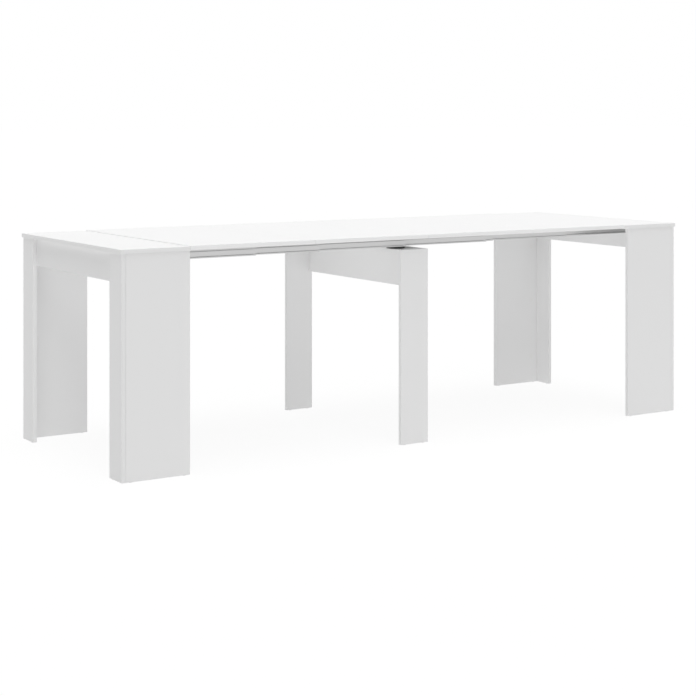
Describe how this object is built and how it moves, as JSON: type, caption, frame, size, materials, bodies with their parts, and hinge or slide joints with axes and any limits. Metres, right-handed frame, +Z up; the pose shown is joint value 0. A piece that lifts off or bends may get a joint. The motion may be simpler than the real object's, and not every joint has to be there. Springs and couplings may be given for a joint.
{
  "type": "extending dining table",
  "caption": "Long extending dining table on panel legs, drawn out on telescopic rails, with loose leaves in place and a middle support frame.",
  "frame": {"origin": "on the floor, under the centre of the table's box", "axes": "+X along the table, from the left end to the right end; +Y from the front side to the rear side; +Z up"},
  "size_m": [2.51, 0.9, 0.783],
  "materials": {
    "white_board": "matte white melamine on board, edges banded",
    "rail": "extruded, satin anodised",
    "zinc_steel": "bright zinc plated",
    "white_plastic": "moulded, matte",
    "black_plastic": "turned, satin black"
  },
  "bodies": {
    "middle_frame": {"middle_front_leg": "white_board", "middle_rear_leg": "white_board", "middle_apron": "white_board", "middle_front_shelf": "white_board", "middle_rear_shelf": "white_board", "middle_front_puck": "black_plastic", "middle_rear_puck": "black_plastic", "middle_cam_fittings": "zinc_steel", "middle_cam_caps": "white_plastic", "middle_glides": "white_plastic", "middle_rail_screws": "zinc_steel", "front_rail_4": "rail", "rear_rail_4": "rail"},
    "left_end": {"left_top": "white_board", "left_front_end_panel": "white_board", "left_front_side_panel": "white_board", "left_rear_end_panel": "white_board", "left_rear_side_panel": "white_board", "left_apron": "white_board", "left_cam_fittings": "zinc_steel", "left_cam_caps": "white_plastic", "left_glides": "white_plastic", "left_rail_screws": "zinc_steel", "front_rail_1": "rail", "rear_rail_1": "rail"},
    "right_end": {"right_top": "white_board", "right_front_end_panel": "white_board", "right_front_side_panel": "white_board", "right_rear_end_panel": "white_board", "right_rear_side_panel": "white_board", "right_apron": "white_board", "right_cam_fittings": "zinc_steel", "right_cam_caps": "white_plastic", "right_glides": "white_plastic", "right_rail_screws": "zinc_steel", "front_rail_7": "rail", "rear_rail_7": "rail"},
    "front_stage_2": {"front_rail_2": "rail"},
    "front_stage_3": {"front_rail_3": "rail"},
    "front_stage_5": {"front_rail_5": "rail"},
    "front_stage_6": {"front_rail_6": "rail"},
    "rear_stage_2": {"rear_rail_2": "rail"},
    "rear_stage_3": {"rear_rail_3": "rail"},
    "rear_stage_5": {"rear_rail_5": "rail"},
    "rear_stage_6": {"rear_rail_6": "rail"},
    "leaf_1": {"leaf_1": "white_board", "leaf_1_pads": "white_plastic"},
    "leaf_2": {"leaf_2": "white_board", "leaf_2_pads": "white_plastic"},
    "leaf_3": {"leaf_3": "white_board", "leaf_3_pads": "white_plastic"},
    "leaf_4": {"leaf_4": "white_board", "leaf_4_pads": "white_plastic"}
  },
  "joints": [
    {"name": "left_end_pull", "type": "slide", "parent": "middle_frame", "child": "left_end", "axis": [-1, 0, 0], "range_m": [0, 0.149]},
    {"name": "right_end_pull", "type": "slide", "parent": "middle_frame", "child": "right_end", "axis": [1, 0, 0], "range_m": [0, 0.376]},
    {"name": "front_stage_2_slide", "type": "slide", "parent": "middle_frame", "child": "front_stage_2", "axis": [-1, 0, 0], "range_m": [0, 0.0201]},
    {"name": "front_stage_3_slide", "type": "slide", "parent": "middle_frame", "child": "front_stage_3", "axis": [-1, 0, 0], "range_m": [0, 0.0101]},
    {"name": "front_stage_5_slide", "type": "slide", "parent": "middle_frame", "child": "front_stage_5", "axis": [1, 0, 0], "range_m": [0, 0.3561]},
    {"name": "front_stage_6_slide", "type": "slide", "parent": "middle_frame", "child": "front_stage_6", "axis": [1, 0, 0], "range_m": [0, 0.3661]},
    {"name": "rear_stage_2_slide", "type": "slide", "parent": "middle_frame", "child": "rear_stage_2", "axis": [-1, 0, 0], "range_m": [0, 0.0201]},
    {"name": "rear_stage_3_slide", "type": "slide", "parent": "middle_frame", "child": "rear_stage_3", "axis": [-1, 0, 0], "range_m": [0, 0.0101]},
    {"name": "rear_stage_5_slide", "type": "slide", "parent": "middle_frame", "child": "rear_stage_5", "axis": [1, 0, 0], "range_m": [0, 0.3561]},
    {"name": "rear_stage_6_slide", "type": "slide", "parent": "middle_frame", "child": "rear_stage_6", "axis": [1, 0, 0], "range_m": [0, 0.3661]},
    {"name": "leaf_1_lift", "type": "slide", "parent": "middle_frame", "child": "leaf_1", "axis": [0, 0, 1], "range_m": [0, 0.25]},
    {"name": "leaf_2_lift", "type": "slide", "parent": "middle_frame", "child": "leaf_2", "axis": [0, 0, 1], "range_m": [0, 0.25]},
    {"name": "leaf_3_lift", "type": "slide", "parent": "middle_frame", "child": "leaf_3", "axis": [0, 0, 1], "range_m": [0, 0.25]},
    {"name": "leaf_4_lift", "type": "slide", "parent": "middle_frame", "child": "leaf_4", "axis": [0, 0, 1], "range_m": [0, 0.25]}
  ],
  "couplings": [
    {"joint": "front_stage_2_slide", "follows": "left_end_pull", "ratio": 0.13423},
    {"joint": "front_stage_3_slide", "follows": "left_end_pull", "ratio": 0.067114},
    {"joint": "front_stage_5_slide", "follows": "right_end_pull", "ratio": 0.94681},
    {"joint": "front_stage_6_slide", "follows": "right_end_pull", "ratio": 0.9734},
    {"joint": "rear_stage_2_slide", "follows": "left_end_pull", "ratio": 0.13423},
    {"joint": "rear_stage_3_slide", "follows": "left_end_pull", "ratio": 0.067114},
    {"joint": "rear_stage_5_slide", "follows": "right_end_pull", "ratio": 0.94681},
    {"joint": "rear_stage_6_slide", "follows": "right_end_pull", "ratio": 0.9734}
  ]
}
